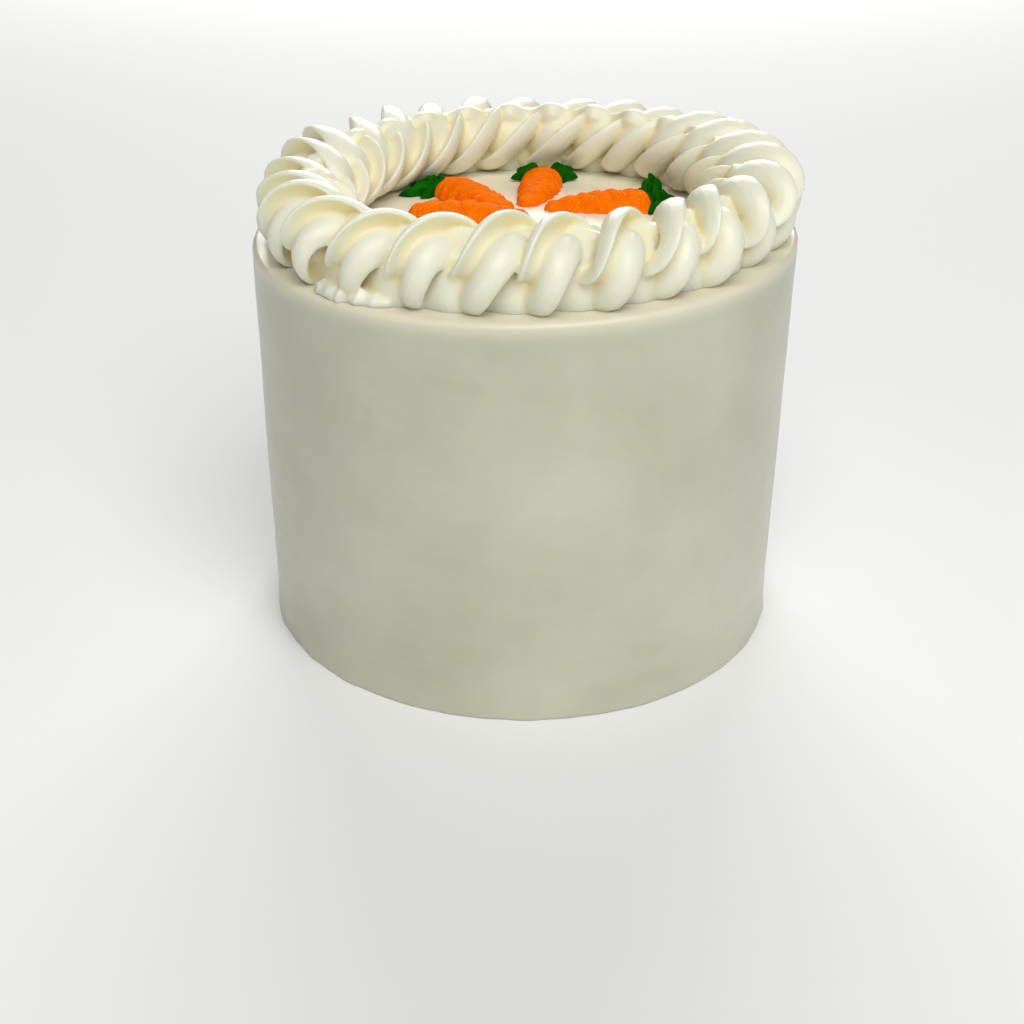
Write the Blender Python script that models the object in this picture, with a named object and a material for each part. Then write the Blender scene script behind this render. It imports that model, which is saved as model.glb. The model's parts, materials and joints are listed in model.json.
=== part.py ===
"""Carrot cake: a tall round frosted cake, a piped rope border and four piped carrots.

Origin at the middle of the underside, +Z up, -Y towards the viewer, metres.
"""

import math

import bmesh
import bpy
from mathutils import Vector

# Driving dimensions, in metres
CAKE_RADIUS = 0.080
CAKE_HEIGHT = 0.1215
BORDER_RADIUS = 0.068       # from the cake's axis to the middle of the rope border
BORDER_HEIGHT = 0.0258
BORDER_WIDTH = 0.0236
CARROT_HEIGHT = 0.0058
CARROT_WIDTH = 0.0136
GAP = 0.0003                # left between pieces that lie on each other

# The cake's top leans a little: it rises to the right and to the back
LEAN_RIGHT = math.tan(math.radians(1.3))
LEAN_BACK = math.tan(math.radians(1.5))
CROWN_HEIGHT = 0.0024       # how far the frosting swells up in the middle of the top
CROWN_RADIUS = 0.62 * CAKE_RADIUS

# The frosting's edges
RIM_ROUND = 0.0025
FOOT_ROUND = 0.0008
CAKE_SIDES = 72

# The rope border: one coil of frosting, laid in loops that lie on each other
BORDER_LOOPS = 27
STEPS_PER_LOOP = 6
STEPS_ROUND_ROPE = 14
ROPE_SINK = 0.0024          # how much the rope is flattened where it lies on the cake
LOOP_VALLEY = 0.22          # depth of the valley between two loops, in rope radii
LOBE_GROOVE = 0.10          # depth of the groove between a loop's two lobes

# Carrots: name, tip (x, y), heading in degrees from +X, length
CARROTS = (
    ("right", (0.005, 0.005), 14, 0.035),
    ("back", (0.002, 0.009), 81, 0.038),
    ("back_left", (-0.004, 0.005), 124, 0.037),
    ("left", (0.002, -0.003), 169, 0.038),
)
CARROT_RINGS = 24
CARROT_POINTS = 12
CARROT_RIPPLES = 7          # ripples that the piping tip leaves along a carrot
RIPPLE_DEPTH = 0.05
TIP_ROUND = 0.0030
BLUNT_ROUND = 0.0055

# Green tops: name, centre (x, y), height, leaves as (direction in degrees, length)
LEAVES = (
    ("right", (0.0445, 0.0150), 0.0045, ((95, 0.0110), (15, 0.0085), (268, 0.0095))),
    ("back_l", (-0.0010, 0.0490), 0.0040, ((160, 0.0065), (40, 0.0050))),
    ("back_r", (0.0186, 0.0440), 0.0040, ((70, 0.0070), (330, 0.0062))),
    ("back_left", (-0.0325, 0.0385), 0.0042, ((205, 0.0090), (95, 0.0095), (150, 0.0070))),
    ("left", (-0.0430, 0.0055), 0.0042, ((120, 0.0090), (235, 0.0090), (178, 0.0075))),
)
LEAF_CORE = 0.0040          # radius of the solid middle of a green top
LEAF_SPREAD = math.radians(48)
LEAF_DIRECTIONS = 24
LEAF_RINGS = 3

# Colours (linear RGB), roughness
FROSTING = ((0.80, 0.77, 0.62, 1.0), 0.45)
BORDER_FROSTING = ((0.90, 0.87, 0.74, 1.0), 0.40)
CARROT_ICING = ((1.00, 0.24, 0.01, 1.0), 0.45)
LEAF_ICING = ((0.01, 0.10, 0.01, 1.0), 0.35)


def clear_scene():
    """Remove whatever the file holds."""
    for obj in list(bpy.data.objects):
        bpy.data.objects.remove(obj, do_unlink=True)


def icing_material(name, look):
    """A soft icing: colour and roughness, no metal."""
    colour, roughness = look
    material = bpy.data.materials.new(name)
    material.use_nodes = True
    shader = material.node_tree.nodes["Principled BSDF"]
    shader.inputs["Base Color"].default_value = colour
    shader.inputs["Roughness"].default_value = roughness
    shader.inputs["Metallic"].default_value = 0.0
    return material


def top_height(x, y):
    """Height of the cake's top at (x, y): the lean and the swell in its middle."""
    reach = min(math.hypot(x, y) / CROWN_RADIUS, 1.0)
    crown = CROWN_HEIGHT * math.cos(reach * math.pi / 2) ** 2
    return CAKE_HEIGHT + LEAN_RIGHT * x + LEAN_BACK * y + crown


def joined_rings(name, rings, material, poles=None, shift=0):
    """One closed body through rings of points.

    With poles, the first and last ring close on a point each. Without them the
    last ring joins the first, shift points further round.
    """
    mesh_data = bmesh.new()
    rows = [[mesh_data.verts.new(point) for point in ring] for ring in rings]
    if poles is None:
        rows.append(rows[0][shift:] + rows[0][:shift])
    for low, high in zip(rows, rows[1:]):
        for i in range(len(low)):
            j = (i + 1) % len(low)
            mesh_data.faces.new((low[i], low[j], high[j], high[i]))
    if poles is not None:
        for row, point in ((rows[0], poles[0]), (rows[-1], poles[1])):
            pole = mesh_data.verts.new(point)
            for i in range(len(row)):
                mesh_data.faces.new((row[i], row[(i + 1) % len(row)], pole))
    bmesh.ops.recalc_face_normals(mesh_data, faces=mesh_data.faces)
    mesh = bpy.data.meshes.new(name)
    mesh_data.to_mesh(mesh)
    mesh_data.free()
    mesh.shade_smooth()
    mesh.set_sharp_from_angle(angle=math.radians(50))
    mesh.materials.append(material)
    obj = bpy.data.objects.new(name, mesh)
    bpy.context.scene.collection.objects.link(obj)
    return obj


def turned_ring(radius, height_at):
    """A level circle of points, each lifted to its own height."""
    ring = []
    for i in range(CAKE_SIDES):
        angle = 2 * math.pi * i / CAKE_SIDES
        x, y = radius * math.cos(angle), radius * math.sin(angle)
        ring.append((x, y, height_at(x, y)))
    return ring


def build_cake(material):
    """The frosted cake: flat underside, upright side, rounded rim, crowned top."""
    rings = [
        turned_ring(CAKE_RADIUS - FOOT_ROUND, lambda x, y: 0.0),
        turned_ring(CAKE_RADIUS, lambda x, y: FOOT_ROUND),
    ]
    for degrees in (0, 30, 60, 90):
        turn = math.radians(degrees)
        radius = CAKE_RADIUS - RIM_ROUND * (1 - math.cos(turn))
        drop = RIM_ROUND * (1 - math.sin(turn))
        rings.append(turned_ring(radius, lambda x, y, drop=drop: top_height(x, y) - drop))
    for share in (1.0, 0.85, 0.7, 0.55, 0.4, 0.2):
        rings.append(turned_ring(share * CROWN_RADIUS, top_height))
    poles = ((0, 0, 0), (0, 0, top_height(0, 0)))
    return joined_rings("frosted_cake", rings, material, poles)


def rope_radius_share(phase):
    """How full the border is at a phase of its loop, 1 on top of a lobe."""
    valley = ((1 + math.cos(phase)) / 2) ** 3
    groove = ((1 + math.cos(2 * phase)) / 2) ** 2
    return 1 - LOOP_VALLEY * valley - LOBE_GROOVE * groove


def border_point(phase_step, round_step):
    """A point of the border, on a grid whose lines follow the loops' lobes."""
    lift = 2 * math.pi * round_step / STEPS_ROUND_ROPE
    phase = 2 * math.pi * phase_step / STEPS_PER_LOOP
    angle = (phase + lift) / BORDER_LOOPS
    share = rope_radius_share(phase)
    half_height = (BORDER_HEIGHT + ROPE_SINK) / 2
    out = BORDER_RADIUS + share * BORDER_WIDTH / 2 * math.cos(lift)
    up = half_height - ROPE_SINK + share * half_height * math.sin(lift)
    x, y = out * math.cos(angle), out * math.sin(angle)
    base = CAKE_HEIGHT + LEAN_RIGHT * x + LEAN_BACK * y + GAP
    return (x, y, base + max(up, 0.0))


def build_border(material):
    """The rope border: a ring of leaning loops, each with a narrow and a wide lobe."""
    around = range(BORDER_LOOPS * STEPS_PER_LOOP)
    rings = [[border_point(i, j) for i in around] for j in range(STEPS_ROUND_ROPE)]
    return joined_rings("rope_border", rings, material, shift=STEPS_PER_LOOP)


def carrot_width_share(along, length):
    """Half-width of a carrot at a distance from its tip, as a share of the widest."""
    taper = 0.40 + 0.60 * math.sin(min(along / (0.75 * length), 1.0) * math.pi / 2)
    ripple = 1 - RIPPLE_DEPTH * math.cos(2 * math.pi * CARROT_RIPPLES * along / length)
    share = taper * ripple / (1 + RIPPLE_DEPTH)
    for from_end, rounding in ((along, TIP_ROUND), (length - along, BLUNT_ROUND)):
        if from_end < rounding:
            share *= math.sqrt(1 - (1 - from_end / rounding) ** 2)
    return share


def on_cake(x, y, up):
    """A point a given height above the cake's top, clear of it by the gap."""
    return Vector((x, y, top_height(x, y) + GAP + up))


def build_carrot(name, tip, heading, length, material):
    """A piped carrot: a rippled, tapered dab that lies flat on the cake."""
    ahead = Vector((math.cos(math.radians(heading)), math.sin(math.radians(heading))))
    aside = Vector((-ahead.y, ahead.x))
    tip = Vector(tip)
    rings = []
    for i in range(CARROT_RINGS):
        turn = math.pi * (i + 0.6) / (CARROT_RINGS + 0.2)
        along = length * (1 - math.cos(turn)) / 2
        share = carrot_width_share(along, length)
        ring = []
        for j in range(CARROT_POINTS):
            angle = 2 * math.pi * j / CARROT_POINTS
            place = tip + ahead * along + aside * (share * CARROT_WIDTH / 2 * math.cos(angle))
            up = CARROT_HEIGHT * share * max(math.sin(angle), 0.0) ** 0.8
            ring.append(on_cake(place.x, place.y, up))
        rings.append(ring)
    blunt = tip + ahead * length
    low_end, high_end = 0.0002, 0.0008
    poles = (on_cake(tip.x, tip.y, low_end), on_cake(blunt.x, blunt.y, high_end))
    return joined_rings("carrot_" + name, rings, material, poles)


def leaf_reach(direction, leaves):
    """How far a green top reaches in a direction: pointed leaves on a round middle."""
    reach = LEAF_CORE
    for heading, length in leaves:
        turn = abs((direction - math.radians(heading) + math.pi) % (2 * math.pi) - math.pi)
        point = max(1 - turn / LEAF_SPREAD, 0.0) ** 1.4
        reach = max(reach, LEAF_CORE + (length - LEAF_CORE) * point)
    return reach


def build_leaves(name, centre, height, leaves, material):
    """A carrot's green top: a low dab drawn out into pointed leaves."""
    start = math.radians(leaves[0][0])
    directions = [start + 2 * math.pi * i / LEAF_DIRECTIONS for i in range(LEAF_DIRECTIONS)]
    rings = []
    shares = [i / LEAF_RINGS for i in range(1, LEAF_RINGS + 1)]
    for share in shares:
        up = height * math.sqrt(1 - 0.94 * share ** 2)
        rings.append([(share, up, direction) for direction in directions])
    for share in reversed(shares):
        rings.append([(0.97 * share, 0.0, direction) for direction in directions])
    points = []
    for ring in rings:
        row = []
        for share, up, direction in ring:
            reach = share * leaf_reach(direction, leaves)
            x = centre[0] + reach * math.cos(direction)
            y = centre[1] + reach * math.sin(direction)
            row.append(on_cake(x, y, up))
        points.append(row)
    poles = (on_cake(*centre, height), on_cake(*centre, 0.0))
    return joined_rings("leaves_" + name, points, material, poles)


clear_scene()
frosting = icing_material("frosting", FROSTING)
border_frosting = icing_material("border_frosting", BORDER_FROSTING)
carrot_icing = icing_material("carrot_icing", CARROT_ICING)
leaf_icing = icing_material("leaf_icing", LEAF_ICING)
build_cake(frosting)
build_border(border_frosting)
for carrot_name, carrot_tip, carrot_heading, carrot_length in CARROTS:
    build_carrot(carrot_name, carrot_tip, carrot_heading, carrot_length, carrot_icing)
for leaves_name, leaves_centre, leaves_height, leaf_list in LEAVES:
    build_leaves(leaves_name, leaves_centre, leaves_height, leaf_list, leaf_icing)
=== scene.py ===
import json
import math
import random

import bmesh
import bpy
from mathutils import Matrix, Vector, noise

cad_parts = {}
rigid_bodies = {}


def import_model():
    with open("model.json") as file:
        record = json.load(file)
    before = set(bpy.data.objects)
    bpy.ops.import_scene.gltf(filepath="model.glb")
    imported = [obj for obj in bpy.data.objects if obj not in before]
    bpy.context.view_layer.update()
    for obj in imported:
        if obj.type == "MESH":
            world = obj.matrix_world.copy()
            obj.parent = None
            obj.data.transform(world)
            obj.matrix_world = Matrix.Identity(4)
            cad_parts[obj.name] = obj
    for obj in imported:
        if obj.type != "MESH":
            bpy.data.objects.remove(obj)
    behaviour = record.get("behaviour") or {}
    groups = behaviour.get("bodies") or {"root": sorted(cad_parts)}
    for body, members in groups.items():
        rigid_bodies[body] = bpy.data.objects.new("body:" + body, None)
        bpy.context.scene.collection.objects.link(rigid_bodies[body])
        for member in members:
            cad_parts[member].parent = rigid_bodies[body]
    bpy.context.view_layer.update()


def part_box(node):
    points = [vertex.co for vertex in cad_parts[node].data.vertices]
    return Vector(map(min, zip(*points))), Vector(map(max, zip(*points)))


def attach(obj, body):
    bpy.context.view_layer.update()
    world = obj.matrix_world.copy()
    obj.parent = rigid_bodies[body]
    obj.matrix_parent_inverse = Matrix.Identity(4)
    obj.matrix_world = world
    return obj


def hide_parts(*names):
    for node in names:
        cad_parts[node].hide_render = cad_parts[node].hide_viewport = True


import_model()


# ---------------------------------------------------------------- Camera
# A short way above the cake, so that its side and the ring of piping on top
# both show. The lens is a little longer than a normal one.
viewing_distance = 0.4145
viewing_height = 0.2411
look_down = 27.47
look_left = 0.55
tilt = -0.20

bpy.ops.object.select_all(action="DESELECT")
bpy.ops.object.camera_add(location=(0, -viewing_distance, viewing_height))
camera = bpy.context.object
camera.name = "camera"
camera.rotation_euler = (math.radians(90 - look_down), math.radians(tilt), math.radians(look_left))
camera.data.sensor_width = 36
camera.data.lens = 50.17
camera.data.clip_start = 0.01
bpy.context.scene.camera = camera


# ---------------------------------------------------------------- Cake
# Stacked crumb under one coat of cream-cheese frosting, drawn smooth with a
# scraper while the stand turns. The scraper leaves faint level bands, a few
# nicks, and a rim that is rounded off by hand and leans a little.
_, cake_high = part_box("frosted_cake")
cake_radius = cake_high[0]
lean_right = math.tan(math.radians(1.3))
lean_back = math.tan(math.radians(1.5))
rim_round = 0.0016
foot_round = 0.0008
rim_height = cake_high[2] - (cake_radius - rim_round) * math.hypot(lean_right, lean_back)
crown_height = 0.0024
crown_radius = 0.62 * cake_radius

cake_sides = 320
side_bands = 84
top_rings = 30
tiny = 1e-5


def leaning_level(x, y):
    """Height of the level that the rim lies in, which leans to the front and the left."""
    return rim_height + lean_right * x + lean_back * y


def top_height(x, y):
    """Height of the frosting's flat top, which leans and swells in the middle."""
    reach = min(math.hypot(x, y) / crown_radius, 1.0)
    crown = crown_height * math.cos(reach * math.pi / 2) ** 2
    return leaning_level(x, y) + crown


def select_parts(obj, parts, test):
    """In edit mode, select only the vertices, edges or faces that pass the test."""
    bpy.ops.mesh.select_all(action="DESELECT")
    mesh = bmesh.from_edit_mesh(obj.data)
    for part in getattr(mesh, parts):
        if test(part):
            part.select_set(True)
    mesh.select_flush_mode()
    bmesh.update_edit_mesh(obj.data)


def ripple(place, size, seed):
    """Smooth unevenness between -1 and 1, with swells of about the given size."""
    return noise.noise(Vector(place) / size + Vector((seed, seed * 1.7, -seed)))


bpy.ops.object.select_all(action="DESELECT")
bpy.ops.mesh.primitive_cylinder_add(
    vertices=cake_sides, radius=cake_radius, depth=rim_height,
    end_fill_type="NGON", location=(0, 0, rim_height / 2))
cake = bpy.context.object
cake.name = "frosting_coat"
bpy.ops.object.transform_apply(location=True, rotation=True, scale=True)
bpy.ops.object.mode_set(mode="EDIT")
bpy.ops.mesh.select_mode(type="EDGE")
select_parts(cake, "edges", lambda e: min(v.co.z for v in e.verts) > rim_height - tiny)
bpy.ops.mesh.bevel(offset=rim_round, segments=6, affect="EDGES")
select_parts(cake, "edges", lambda e: max(v.co.z for v in e.verts) < tiny)
bpy.ops.mesh.bevel(offset=foot_round, segments=3, affect="EDGES")
select_parts(cake, "edges", lambda e: abs(e.verts[0].co.z - e.verts[1].co.z) > rim_height / 2)
bpy.ops.mesh.subdivide(number_cuts=side_bands)
bpy.ops.mesh.select_mode(type="FACE")
select_parts(cake, "faces", lambda f: f.normal.z > 0.9 and len(f.verts) == cake_sides)
for _ in range(top_rings):
    bpy.ops.mesh.inset(thickness=(cake_radius - 2 * rim_round) / (top_rings + 1))
bpy.ops.mesh.poke()
bpy.ops.object.mode_set(mode="OBJECT")

# The scraper's bands, the swell of the coat, the lean of the top and the rough foot
broad_swell = 0.00038
narrow_swell = 0.00016
band_depth = 0.00010
band_stretch = 3.2
foot_height = 0.0022
foot_spread = 0.0003
foot_ripple = 0.0007
top_ripple = 0.00022
nick_depth = 0.0005
lean_starts = 0.3
nicks = (
    # Its turn from the front, its height and its size
    (-0.55, 0.092, 0.0016),
    (0.22, 0.083, 0.0012),
    (-1.02, 0.060, 0.0014),
    (0.62, 0.044, 0.0013),
    (-0.20, 0.029, 0.0012),
    (1.9, 0.07, 0.0015),
)
for vertex in cake.data.vertices:
    place = vertex.co.copy()
    out = Vector((place.x, place.y, 0))
    reach = out.length
    height_share = place.z / rim_height
    if reach > tiny:
        out /= reach
    turn = math.atan2(place.x, -place.y)
    wall = 1.0 if reach > cake_radius - rim_round else 0.0
    swell = broad_swell * ripple(place, 0.050, 3) + narrow_swell * ripple(place, 0.018, 9)
    stretched = (place.x, place.y, place.z * band_stretch)
    bands = band_depth * ripple(stretched, 0.022, 21)
    foot = math.exp(-place.z / foot_height) * (foot_spread + foot_ripple * ripple(place, 0.009, 5))
    dent = 0.0
    for nick_turn, nick_height, nick_size in nicks:
        away = math.hypot((turn - nick_turn) * cake_radius, place.z - nick_height)
        dent += nick_depth * math.exp(-(away / nick_size) ** 2)
    place += out * wall * (swell + bands + foot - dent)
    top_share = min(max((height_share - lean_starts) / (1 - lean_starts), 0.0), 1.0)
    place.z += (lean_right * vertex.co.x + lean_back * vertex.co.y) * top_share
    if vertex.co.z > rim_height - rim_round:
        level = top_height(vertex.co.x, vertex.co.y) - rim_height
        place.z = vertex.co.z + level + top_ripple * ripple(vertex.co, 0.014, 13)
    vertex.co = place
bpy.ops.object.shade_smooth_by_angle(angle=math.radians(60))

# How far each point has the lighter, warmer colour of the top, which is painted light from above:
# the most in the middle, half of it near the rim, and none a few millimetres down the side
top_light_reach = 0.070
top_light_fade = 0.012
rim_top_light = 0.50
top_light_drop = 0.004
# The cream attribute holds each point's share of the painted top light
top_light_share = cake.data.attributes.new("cream", "FLOAT", "POINT")
top_light_shares = []
for vertex in cake.data.vertices:
    reach = math.hypot(vertex.co.x, vertex.co.y)
    below = top_height(vertex.co.x, vertex.co.y) - vertex.co.z
    inner_share = min(max((top_light_reach - reach) / top_light_fade, 0.0), 1.0)
    middle = rim_top_light + (1 - rim_top_light) * inner_share
    top_light_shares.append(middle * min(max(1.2 - below / top_light_drop, 0.0), 1.0))
top_light_share.data.foreach_set("value", top_light_shares)

coat = bpy.data.materials.new("frosting")
coat.use_nodes = True
nodes, links = coat.node_tree.nodes, coat.node_tree.links
shader = nodes["Principled BSDF"]
shader.inputs["Roughness"].default_value = 0.30
shader.inputs["Subsurface Weight"].default_value = 0.35
shader.inputs["Subsurface Radius"].default_value = (1.0, 0.75, 0.45)
shader.inputs["Subsurface Scale"].default_value = 0.004
shader.inputs["IOR"].default_value = 1.42
place = nodes.new("ShaderNodeTexCoord")

# Soft cloudy patches, where the coat is thicker or was drawn twice
clouds = nodes.new("ShaderNodeTexNoise")
clouds.inputs["Scale"].default_value = 22
clouds.inputs["Detail"].default_value = 5
clouds.inputs["Roughness"].default_value = 0.55
links.new(place.outputs["Object"], clouds.inputs["Vector"])
# Its colours are darker than the top's and the border's frosting: painted shade for the side,
# which the light from above reaches less; the cloudy patches within them are the coat's own uneven
# tone
clouds_and_side_shade = nodes.new("ShaderNodeValToRGB")
clouds_and_side_shade.color_ramp.elements[0].position = 0.30
clouds_and_side_shade.color_ramp.elements[0].color = (0.500, 0.502, 0.384, 1)
clouds_and_side_shade.color_ramp.elements[1].position = 0.72
clouds_and_side_shade.color_ramp.elements[1].color = (0.602, 0.608, 0.486, 1)
links.new(clouds.outputs["Fac"], clouds_and_side_shade.inputs["Fac"])

# Faint level bands left by the scraper, and fine pores
flat = nodes.new("ShaderNodeMapping")
flat.inputs["Scale"].default_value = (1, 1, 5)
links.new(place.outputs["Object"], flat.inputs["Vector"])
scraped = nodes.new("ShaderNodeTexNoise")
scraped.inputs["Scale"].default_value = 34
scraped.inputs["Detail"].default_value = 6
links.new(flat.outputs["Vector"], scraped.inputs["Vector"])
pores = nodes.new("ShaderNodeTexNoise")
pores.inputs["Scale"].default_value = 900
pores.inputs["Detail"].default_value = 3
links.new(place.outputs["Object"], pores.inputs["Vector"])
scraped_bump = nodes.new("ShaderNodeBump")
scraped_bump.inputs["Strength"].default_value = 0.35
scraped_bump.inputs["Distance"].default_value = 0.0009
links.new(scraped.outputs["Fac"], scraped_bump.inputs["Height"])
pore_bump = nodes.new("ShaderNodeBump")
pore_bump.inputs["Strength"].default_value = 0.10
pore_bump.inputs["Distance"].default_value = 0.0002
links.new(pores.outputs["Fac"], pore_bump.inputs["Height"])
links.new(scraped_bump.outputs["Normal"], pore_bump.inputs["Normal"])
links.new(pore_bump.outputs["Normal"], shader.inputs["Normal"])

# Painted light: the top gets a lighter, warmer colour than the side, standing in for the light
# from above that falls on it
painted_top_light = nodes.new("ShaderNodeAttribute")
painted_top_light.attribute_name = "cream"
lit_top_colour = nodes.new("ShaderNodeMix")
lit_top_colour.data_type = "RGBA"
# The lighter, warmer colour painted on the top as light from above
lit_top_colour.inputs["B"].default_value = (0.920, 0.850, 0.650, 1)
links.new(painted_top_light.outputs["Fac"], lit_top_colour.inputs["Factor"])
links.new(clouds_and_side_shade.outputs["Color"], lit_top_colour.inputs["A"])
links.new(lit_top_colour.outputs["Result"], shader.inputs["Base Color"])
cake.data.materials.clear()
cake.data.materials.append(coat)

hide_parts("frosted_cake")
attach(cake, "root")


# ---------------------------------------------------------------- Rope border
# One coil of stiff cream frosting, piped through a large open star tip in loops
# that lie on each other all round the top. The tip doesn't turn with the coil,
# so its ridges run slantwise over each loop and hook under at its left side.
coil_centre = 0.0670
coil_out = 0.0066
coil_up = 0.0054
coil_height = 0.0107
loops = 27
start_turn = math.radians(-125.9)
steps_per_loop = 40
tip_teeth = 3
points_per_tooth = 16
tip_reach = 0.0081
tooth_depth = 0.65
back_tooth_depth = 0.55
tooth_narrowing = 1.20
tooth_sweep = math.radians(58)
tooth_start = math.radians(5)
back_phase = math.radians(6)
front_hurry = 0.36
back_hurry = -0.30
rope_flattening = 0.98
flattening_swing = 0.14
flattening_phase = 0.6
front_lean = -0.0004
back_lean = -0.0026
back_drop = 0.06
back_spread = 0.0014
left_spread = 0.0026
left_turn = math.radians(158)
sink = 0.0004

wobble = random.Random(11)
loop_pitch = [wobble.uniform(-0.09, 0.09) for _ in range(loops)]
loop_size = [wobble.uniform(0.93, 1.06) for _ in range(loops)]
loop_shift = [wobble.uniform(-0.0011, 0.0009) for _ in range(loops)]
loop_tilt = [wobble.uniform(-0.0013, 0.0013) for _ in range(loops)]
loop_twist = [wobble.uniform(-0.22, 0.22) for _ in range(loops)]


def eased(values, loop):
    """The value of a loop, passing smoothly into the next loop's."""
    index = math.floor(loop)
    share = loop - index
    share = share * share * (3 - 2 * share)
    return values[index % loops] * (1 - share) + values[(index + 1) % loops] * share


def coil_point(step):
    """A point on the middle of the rope, and the direction out of its coil."""
    loop = step / steps_per_loop
    lift = 2 * math.pi * loop
    turn = start_turn + 2 * math.pi * (loop + eased(loop_pitch, loop)) / loops
    backward = (1 + math.sin(turn)) / 2
    lean = front_lean * (1 - backward) + back_lean * backward + eased(loop_tilt, loop)
    turn += lean * math.sin(lift) / coil_centre
    size = eased(loop_size, loop) * (1 - back_drop * backward)
    spread = back_spread * backward + left_spread * max(math.cos(turn - left_turn), 0.0) ** 4
    reach = coil_centre - spread + eased(loop_shift, loop)
    reach += (coil_out * size + spread) * math.cos(lift)
    up = coil_height * (0.5 + 0.5 * size) + coil_up * size * math.sin(lift)
    flat_x, flat_y = math.cos(turn), math.sin(turn)
    x, y = reach * flat_x, reach * flat_y
    away = Vector((math.cos(lift) * flat_x, math.cos(lift) * flat_y, math.sin(lift)))
    return Vector((x, y, leaning_level(x, y) + up)), away


rope_steps = loops * steps_per_loop
ring_points = tip_teeth * points_per_tooth
rope_points = []
rope_faces = []
for step in range(rope_steps):
    middle, away = coil_point(step)
    ahead = (coil_point(step + 1)[0] - coil_point(step - 1)[0]).normalized()
    away = (away - away.dot(ahead) * ahead).normalized()
    aside = ahead.cross(away)
    loop = step / steps_per_loop
    size = eased(loop_size, loop)
    lift = 2 * math.pi * loop
    flattening = rope_flattening - flattening_swing * math.cos(lift + flattening_phase)
    backward = (1 + math.sin(start_turn + 2 * math.pi * loop / loops)) / 2
    hurry = front_hurry * (1 - backward) + back_hurry * backward
    spin = lift - hurry * math.sin(lift) + tooth_start + back_phase * backward
    spin += eased(loop_twist, loop)
    depth = tooth_depth * (1 - backward) + back_tooth_depth * backward
    for point in range(ring_points):
        angle = 2 * math.pi * point / ring_points
        tooth = ((1 + math.cos(tip_teeth * angle)) / 2) ** tooth_narrowing
        share = 1 - depth * (1 - tooth)
        angle += tooth_sweep * share ** 2 + spin
        offset = away * math.cos(angle) + aside * (math.sin(angle) * flattening)
        place = middle + offset * (tip_reach * size * share)
        place.z = max(place.z, leaning_level(place.x, place.y) - sink)
        rope_points.append(place)
    low = step * ring_points
    high = (step + 1) % rope_steps * ring_points
    for point in range(ring_points):
        after = (point + 1) % ring_points
        rope_faces.append((low + point, low + after, high + after, high + point))

# The heart of the ring, where the loops have sunk into each other. Its outline goes
# up its inner side and down its outer side, as distance out and height.
heart_outline = (
    (0.0632, -0.0004),
    (0.0624, 0.0050),
    (0.0608, 0.0110),
    (0.0604, 0.0156),
    (0.0622, 0.0182),
    (0.0660, 0.0180),
    (0.0698, 0.0134),
    (0.0717, 0.0082),
    (0.0725, 0.0040),
    (0.0722, -0.0004),
)
loop_bulge = 0.0011
loop_rise = 0.06
bulge_phase = 2.6
back_fill = 0.14
begun_bulge = 0.0022
begun_turn = math.radians(-132)
heart_steps = loops * 16
heart_points = len(heart_outline)
heart_start = len(rope_points)
for step in range(heart_steps):
    turn = start_turn + 2 * math.pi * step / heart_steps
    bulge = math.cos(loops * (turn - start_turn) + bulge_phase)
    backward = (1 + math.sin(turn)) / 2
    for reach, up in heart_outline:
        if reach > coil_centre:
            reach += loop_bulge * bulge + begun_bulge * max(math.cos(turn - begun_turn), 0.0) ** 10
        else:
            reach -= loop_bulge * bulge
        reach -= 2 * back_spread * backward
        x, y = reach * math.cos(turn), reach * math.sin(turn)
        up *= (1 + back_fill * backward) * (1 + loop_rise * bulge)
        rope_points.append(Vector((x, y, leaning_level(x, y) + up)))
    low = heart_start + step * heart_points
    high = heart_start + (step + 1) % heart_steps * heart_points
    for point in range(heart_points):
        after = (point + 1) % heart_points
        rope_faces.append((low + point, high + point, high + after, low + after))

# The smeared tail where the coil was begun, squashed flat under the next loops
tail_start = math.radians(-137)
tail_end = math.radians(-117)
tail_reach = 0.0750
tail_thickness = 0.0040
tail_middle = 0.0011
tail_squash = 0.8
tail_wander = 0.0008
tail_steps = 60
tail_points = 16
tail_first = len(rope_points)
for step in range(tail_steps + 1):
    share = step / tail_steps
    turn = tail_start + (tail_end - tail_start) * share
    thick = tail_thickness * math.sin(math.pi * min(max(share, 0.03), 0.97)) ** 0.5
    thick *= 1 + 0.30 * ripple((share * 0.02, 0, 0), 0.0016, 8)
    wander = tail_wander * ripple((0, share * 0.02, 0), 0.004, 4)
    for point in range(tail_points):
        angle = 2 * math.pi * point / tail_points
        around = (share * 0.03, math.cos(angle) * 0.003, math.sin(angle) * 0.003)
        rough = 1 + 0.25 * ripple(around, 0.0013, 2)
        reach = tail_reach + wander + thick * rough * math.cos(angle)
        up = tail_middle + tail_squash * thick * rough * math.sin(angle)
        x, y = reach * math.cos(turn), reach * math.sin(turn)
        rope_points.append(Vector((x, y, leaning_level(x, y) + max(up, -sink))))
    if step:
        low = tail_first + (step - 1) * tail_points
        high = low + tail_points
        for point in range(tail_points):
            after = (point + 1) % tail_points
            rope_faces.append((low + point, low + after, high + after, high + point))
last = tail_first + tail_steps * tail_points
rope_faces.append(tuple(tail_first + point for point in range(tail_points))[::-1])
rope_faces.append(tuple(last + point for point in range(tail_points)))

rope_mesh = bpy.data.meshes.new("piped_border")
rope_mesh.from_pydata(rope_points, [], rope_faces)
rope = bpy.data.objects.new("piped_border", rope_mesh)
bpy.context.scene.collection.objects.link(rope)


def finish_with(obj, kind, **settings):
    """Add a modifier to the piece, set it and apply it."""
    for other in bpy.context.selected_objects:
        other.select_set(False)
    obj.select_set(True)
    bpy.context.view_layer.objects.active = obj
    modifier = obj.modifiers.new(kind, kind)
    for name, value in settings.items():
        setattr(modifier, name, value)
    bpy.ops.object.modifier_apply(modifier=modifier.name)


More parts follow.
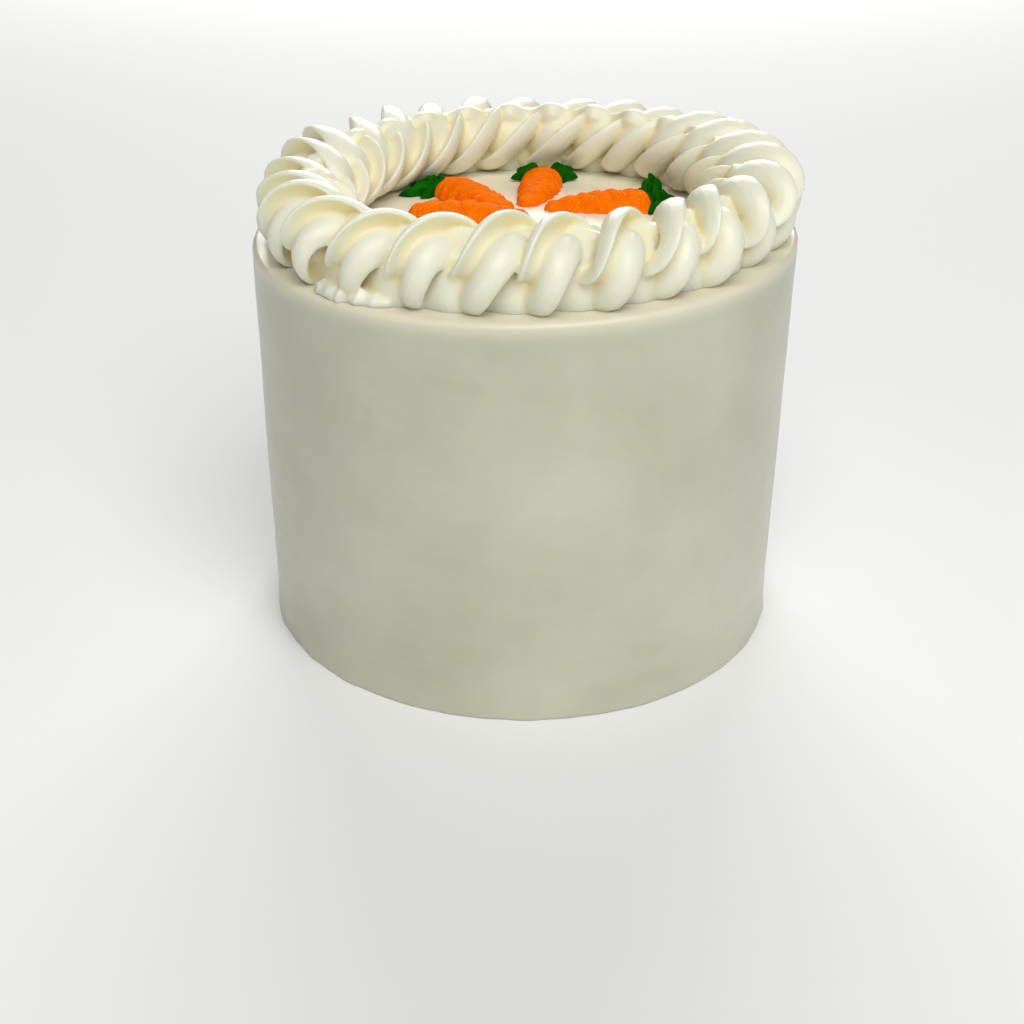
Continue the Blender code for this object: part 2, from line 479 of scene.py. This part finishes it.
def drop_specks(obj):
    """Delete loose specks: keep only what is joined to the point furthest to the right."""
    bpy.ops.object.mode_set(mode="EDIT")
    bpy.ops.mesh.select_mode(type="VERT")
    widest = max(vertex.co.x for vertex in bmesh.from_edit_mesh(obj.data).verts)
    select_parts(obj, "verts", lambda v: v.co.x > widest - 1e-7)
    bpy.ops.mesh.select_linked()
    bpy.ops.mesh.select_all(action="INVERT")
    bpy.ops.mesh.delete(type="VERT")
    bpy.ops.object.mode_set(mode="OBJECT")


most_triangles = 190000
finish_with(rope, "REMESH", mode="VOXEL", voxel_size=0.0005, use_smooth_shade=True)
finish_with(rope, "SMOOTH", factor=0.5, iterations=1)
triangles = 2 * len(rope.data.polygons)
finish_with(rope, "DECIMATE", ratio=min(1.0, most_triangles / triangles))
drop_specks(rope)
rope.data.shade_smooth()


def mark_painted_hollow_shade(obj, rounds, depth, inward_shade):
    """Store on each point how deep it lies in a hollow or faces inwards, from 0 to 1, as the mask
    for painted shade.
    """
    smoothed = obj.copy()
    smoothed.data = obj.data.copy()
    bpy.context.scene.collection.objects.link(smoothed)
    finish_with(smoothed, "SMOOTH", factor=0.6, iterations=rounds)
    hollow_shade = obj.data.attributes.new("hollow_shade", "FLOAT", "POINT")
    shares = []
    for old, new in zip(obj.data.vertices, smoothed.data.vertices):
        sunk = (new.co - old.co).dot(old.normal)
        flat = Vector((old.co.x, old.co.y, 0)).normalized()
        inward = max(-old.normal.dot(flat), 0.0)
        shares.append(min(max(0.5 + sunk / depth + inward_shade * inward, 0.0), 1.0))
    hollow_shade.data.foreach_set("value", shares)
    bpy.data.objects.remove(smoothed, do_unlink=True)


# Mask for the painted shade in the border's hollows and on its inward-facing sides
mark_painted_hollow_shade(rope, rounds=30, depth=0.0016, inward_shade=0.12)

# Paler on the tops of the loops, and a warmer, slightly darker painted shade in the hollows
# between them and on the sides that face inwards
cream = bpy.data.materials.new("border_frosting")
cream.use_nodes = True
nodes, links = cream.node_tree.nodes, cream.node_tree.links
shader = nodes["Principled BSDF"]
shader.inputs["Roughness"].default_value = 0.34
shader.inputs["Subsurface Weight"].default_value = 0.60
shader.inputs["Subsurface Radius"].default_value = (1.0, 0.85, 0.50)
shader.inputs["Subsurface Scale"].default_value = 0.005
shader.inputs["IOR"].default_value = 1.42
place = nodes.new("ShaderNodeTexCoord")
hollow_shade = nodes.new("ShaderNodeAttribute")
hollow_shade.attribute_name = "hollow_shade"
hollow_shade_colour = nodes.new("ShaderNodeValToRGB")
# The paler colour of the tops, then the warmer, slightly darker colour painted as shade in the
# hollows
hollow_shade_colour.color_ramp.elements[0].position = 0.35
hollow_shade_colour.color_ramp.elements[0].color = (0.805, 0.800, 0.660, 1)
hollow_shade_colour.color_ramp.elements[1].position = 0.85
hollow_shade_colour.color_ramp.elements[1].color = (0.860, 0.782, 0.478, 1)
links.new(hollow_shade.outputs["Fac"], hollow_shade_colour.inputs["Fac"])
links.new(hollow_shade_colour.outputs["Color"], shader.inputs["Base Color"])
grain = nodes.new("ShaderNodeTexNoise")
grain.inputs["Scale"].default_value = 900
grain.inputs["Detail"].default_value = 3
links.new(place.outputs["Object"], grain.inputs["Vector"])
grain_bump = nodes.new("ShaderNodeBump")
grain_bump.inputs["Strength"].default_value = 0.20
grain_bump.inputs["Distance"].default_value = 0.0003
links.new(grain.outputs["Fac"], grain_bump.inputs["Height"])
links.new(grain_bump.outputs["Normal"], shader.inputs["Normal"])
rope.data.materials.clear()
rope.data.materials.append(cream)

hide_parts("rope_border")
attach(rope, "root")


# ---------------------------------------------------------------- Carrots
# Four carrots in orange icing, each laid from its blunt end to its tip with a
# small round tip that was moved to and fro, which leaves ripples across it.
carrots = (
    # Its name, where its tip lies, the way it points from there, and its length
    ("right", (0.006, 0.0068), 13, 0.034),
    ("back", (0.0005, 0.0100), 81, 0.036),
    ("back_left", (-0.004, 0.005), 124, 0.037),
    ("left", (0.002, -0.003), 169, 0.038),
)
carrot_width = 0.0136
carrot_height = 0.0058
carrot_bow = 0.0008
tip_rounding = 0.003
end_rounding = 0.0055
stroke_width = 0.0017
stroke_depth = 0.00005
lump_depth = 0.00030
grain_depth = 0.00010
pressed_in = 0.0003

icing = bpy.data.materials.new("carrot_icing")
icing.use_nodes = True
nodes, links = icing.node_tree.nodes, icing.node_tree.links
shader = nodes["Principled BSDF"]
shader.inputs["Roughness"].default_value = 0.36
shader.inputs["IOR"].default_value = 1.04
shader.inputs["Subsurface Weight"].default_value = 0.10
shader.inputs["Subsurface Radius"].default_value = (1.0, 0.3, 0.05)
shader.inputs["Subsurface Scale"].default_value = 0.0015
place = nodes.new("ShaderNodeTexCoord")

# Deeper and paler orange in soft patches, with a scatter of tiny yellow flecks that are painted
# glints
patches = nodes.new("ShaderNodeTexNoise")
patches.inputs["Scale"].default_value = 260
patches.inputs["Detail"].default_value = 3
links.new(place.outputs["Object"], patches.inputs["Vector"])
patch_colour = nodes.new("ShaderNodeValToRGB")
patch_colour.color_ramp.elements[0].position = 0.35
patch_colour.color_ramp.elements[0].color = (0.940, 0.132, 0.0004, 1)
patch_colour.color_ramp.elements[1].position = 0.70
patch_colour.color_ramp.elements[1].color = (0.980, 0.200, 0.0008, 1)
links.new(patches.outputs["Fac"], patch_colour.inputs["Fac"])
grain_and_glints = nodes.new("ShaderNodeTexNoise")
grain_and_glints.inputs["Scale"].default_value = 2000
grain_and_glints.inputs["Detail"].default_value = 2
links.new(place.outputs["Object"], grain_and_glints.inputs["Vector"])
# Mask of the painted glints; the same noise also gives the grain's bump
painted_glint_mask = nodes.new("ShaderNodeValToRGB")
painted_glint_mask.color_ramp.elements[0].position = 0.62
painted_glint_mask.color_ramp.elements[0].color = (0, 0, 0, 1)
painted_glint_mask.color_ramp.elements[1].position = 0.72
painted_glint_mask.color_ramp.elements[1].color = (1, 1, 1, 1)
links.new(grain_and_glints.outputs["Fac"], painted_glint_mask.inputs["Fac"])
with_painted_glints = nodes.new("ShaderNodeMix")
with_painted_glints.data_type = "RGBA"
# The colour of the painted glints
with_painted_glints.inputs["B"].default_value = (1.000, 0.520, 0.030, 1)
links.new(painted_glint_mask.outputs["Color"], with_painted_glints.inputs["Factor"])
links.new(patch_colour.outputs["Color"], with_painted_glints.inputs["A"])
links.new(with_painted_glints.outputs["Result"], shader.inputs["Base Color"])
grain_bump = nodes.new("ShaderNodeBump")
grain_bump.inputs["Strength"].default_value = 0.35
grain_bump.inputs["Distance"].default_value = 0.0003
links.new(grain_and_glints.outputs["Fac"], grain_bump.inputs["Height"])
links.new(grain_bump.outputs["Normal"], shader.inputs["Normal"])


def carrot_share(along, length, seed):
    """Half-width of a carrot at a distance from its tip, as a share of the widest."""
    taper = 0.40 + 0.60 * math.sin(min(along / (0.75 * length), 1.0) * math.pi / 2)
    wave = 7 * along / length + 0.3 * ripple((along, 0, 0), 0.006, seed)
    share = taper * (1 - 0.05 * math.cos(2 * math.pi * wave)) / 1.05
    for from_end, rounding in ((along, tip_rounding), (length - along, end_rounding)):
        if from_end < rounding:
            share *= math.sqrt(max(1 - (1 - from_end / rounding) ** 2, 0.0))
    return share


for seed, (name, tip, heading, length) in enumerate(carrots):
    ahead = Vector((math.cos(math.radians(heading)), math.sin(math.radians(heading)), 0))
    aside = Vector((-ahead.y, ahead.x, 0))
    bpy.ops.object.select_all(action="DESELECT")
    bpy.ops.mesh.primitive_uv_sphere_add(segments=96, ring_count=220, radius=1.0)
    carrot = bpy.context.object
    carrot.name = "piped_carrot_" + name
    for vertex in carrot.data.vertices:
        along = length * (1 + vertex.co.z) / 2
        angle = math.atan2(vertex.co.y, vertex.co.x)
        share = carrot_share(along, length, seed + 1)
        bow = carrot_bow * math.sin(math.pi * along / length) * (-1) ** seed
        side = share * carrot_width / 2 * math.cos(angle) + bow
        spot = Vector((tip[0], tip[1], 0)) + ahead * along + aside * side
        lift = max(math.sin(angle), 0.0) ** 0.8
        up = carrot_height * share * lift
        slant = along + 0.35 * side + 0.0012 * ripple((along, side, up), 0.005, seed + 3)
        stroke = math.cos(2 * math.pi * slant / stroke_width)
        lump = ripple((spot.x, spot.y, up), 0.0045, seed + 5)
        fine = ripple((spot.x, spot.y, up), 0.0012, seed + 9)
        rough = stroke_depth * stroke + lump_depth * lump + grain_depth * fine
        if math.sin(angle) < 0:
            up = -pressed_in * share
            rough = 0
        out = aside * math.cos(angle) + Vector((0, 0, lift))
        spot += out * (rough * min(3 * share, 1.0))
        spot.z += top_height(spot.x, spot.y) + up
        vertex.co = spot
    bpy.ops.object.mode_set(mode="EDIT")
    bpy.ops.mesh.select_all(action="SELECT")
    bpy.ops.mesh.normals_make_consistent(inside=False)
    bpy.ops.object.mode_set(mode="OBJECT")
    carrot.data.shade_smooth()
    carrot.data.materials.append(icing)
    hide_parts("carrot_" + name)
    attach(carrot, "root")


# ---------------------------------------------------------------- Green tops
# The carrots' leaves: dabs of dark green icing from a leaf tip, each pressed
# down, ruffled at its edges and drawn out to a point.
tops = (
    # Its name, its centre, and each dab's heading, length, width and rise
    ("right", (0.0388, 0.0172), (
        (88, 0.0125, 0.0070, 0.0066), (8, 0.0085, 0.0046, 0.0010),
        (268, 0.0105, 0.0062, 0.0002), (142, 0.0100, 0.0034, 0.0014))),
    ("back_l", (0.0050, 0.0468), (
        (184, 0.0095, 0.0070, 0.0012), (150, 0.0090, 0.0062, 0.0022))),
    ("back_r", (0.0082, 0.0462), (
        (354, 0.0092, 0.0070, 0.0012), (34, 0.0092, 0.0064, 0.0024))),
    ("back_left", (-0.0262, 0.0352), (
        (198, 0.0142, 0.0064, 0.0004), (162, 0.0110, 0.0062, 0.0012),
        (118, 0.0092, 0.0056, 0.0016), (230, 0.0100, 0.0058, 0.0))),
    ("left", (-0.0345, -0.0012), (
        (228, 0.0090, 0.0056, 0.0002), (264, 0.0078, 0.0050, 0.0),
        (196, 0.0086, 0.0050, 0.0004))),
)

dab_height = 0.0048
dab_crease = 0.42
crease_width = 0.22
edge_ruffle = 0.26
top_ruffle = 0.08
dab_wave = 0.0005

leaf_icing = bpy.data.materials.new("leaf_icing")
leaf_icing.use_nodes = True
nodes, links = leaf_icing.node_tree.nodes, leaf_icing.node_tree.links
shader = nodes["Principled BSDF"]
shader.inputs["Roughness"].default_value = 0.42
shader.inputs["IOR"].default_value = 1.08
place = nodes.new("ShaderNodeTexCoord")
shades = nodes.new("ShaderNodeTexNoise")
shades.inputs["Scale"].default_value = 300
links.new(place.outputs["Object"], shades.inputs["Vector"])
shade_colour = nodes.new("ShaderNodeValToRGB")
shade_colour.color_ramp.elements[0].position = 0.35
shade_colour.color_ramp.elements[0].color = (0.002, 0.075, 0.001, 1)
shade_colour.color_ramp.elements[1].position = 0.75
shade_colour.color_ramp.elements[1].color = (0.006, 0.125, 0.002, 1)
links.new(shades.outputs["Fac"], shade_colour.inputs["Fac"])
links.new(shade_colour.outputs["Color"], shader.inputs["Base Color"])

for seed, (name, centre, leaves) in enumerate(tops):
    dabs = []
    for number, (heading, length, width, rise) in enumerate(leaves):
        ahead = Vector((math.cos(math.radians(heading)), math.sin(math.radians(heading)), 0))
        aside = Vector((-ahead.y, ahead.x, 0))
        bpy.ops.object.select_all(action="DESELECT")
        bpy.ops.mesh.primitive_uv_sphere_add(segments=40, ring_count=48, radius=1.0)
        dab = bpy.context.object
        for vertex in dab.data.vertices:
            along = (1 + vertex.co.z) / 2
            angle = math.atan2(vertex.co.y, vertex.co.x)
            shoulder = min(along / 0.30, 1.0)
            outline = math.sin(shoulder * math.pi / 2) * min((1 - along) / 0.62, 1.0) ** 0.75
            edge = abs(math.cos(angle))
            ruffle = 1 + edge_ruffle * edge * math.sin(along * 13 + 2.1 * number + seed)
            side = math.cos(angle) * outline * width / 2 * ruffle
            crease = 1 - dab_crease * math.exp(-(math.cos(angle) / crease_width) ** 2)
            up = dab_height * outline * max(math.sin(angle), 0.0) ** 0.55 * crease
            up *= 1 + top_ruffle * math.sin(along * 15 + number)
            up += rise * along ** 1.5
            if math.sin(angle) < 0:
                up = min(rise * along ** 1.5 - pressed_in, up)
            wave = dab_wave * math.sin(along * 7 + seed + 2 * number)
            spot = Vector((centre[0], centre[1], 0)) + ahead * (along * length)
            spot += aside * (side + wave)
            spot.z = top_height(spot.x, spot.y) + up
            vertex.co = spot
        dabs.append(dab)
    bpy.ops.object.select_all(action="DESELECT")
    for dab in dabs:
        dab.select_set(True)
    bpy.context.view_layer.objects.active = dabs[0]
    if len(dabs) > 1:
        bpy.ops.object.join()
    top = bpy.context.object
    top.name = "piped_leaves_" + name
    finish_with(top, "REMESH", mode="VOXEL", voxel_size=0.0002, use_smooth_shade=True)
    finish_with(top, "SMOOTH", factor=0.5, iterations=1)
    drop_specks(top)
    top.data.materials.clear()
    top.data.materials.append(leaf_icing)
    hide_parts("leaves_" + name)
    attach(top, "root")


# ---------------------------------------------------------------- Floor and light
# A pale paper sweep under the cake, a large soft lamp in front at the right, and
# one far behind that lights the paper.
bpy.ops.object.select_all(action="DESELECT")
bpy.ops.mesh.primitive_plane_add(size=8, location=(0, 0, 0))
floor = bpy.context.object
floor.name = "floor"
paper = bpy.data.materials.new("paper")
paper.use_nodes = True
paper_shader = paper.node_tree.nodes["Principled BSDF"]
paper_shader.inputs["Base Color"].default_value = (0.89, 0.89, 0.88, 1)
paper_shader.inputs["Roughness"].default_value = 0.9
floor.data.materials.append(paper)

lamps = (
    ("key", (0.30, -1.32, 1.66), (0.0, 0.0, 0.09), 1.80, 43.0),
    ("back", (0.00, 2.40, 1.30), (0.0, 1.0, 0.0), 1.80, 45.0),
)
for name, spot, target, size, power in lamps:
    bpy.ops.object.light_add(type="AREA", location=spot)
    lamp = bpy.context.object
    lamp.name = name + "_lamp"
    lamp.data.size = size
    lamp.data.energy = power
    aim = Vector(target) - Vector(spot)
    lamp.rotation_euler = aim.to_track_quat("-Z", "Y").to_euler()

scene = bpy.context.scene
scene.view_settings.view_transform = "Standard"
scene.world = scene.world or bpy.data.worlds.new("room")
scene.world.use_nodes = True
background = scene.world.node_tree.nodes["Background"]
background.inputs["Color"].default_value = (1.0, 1.0, 1.0, 1)
background.inputs["Strength"].default_value = 0.09
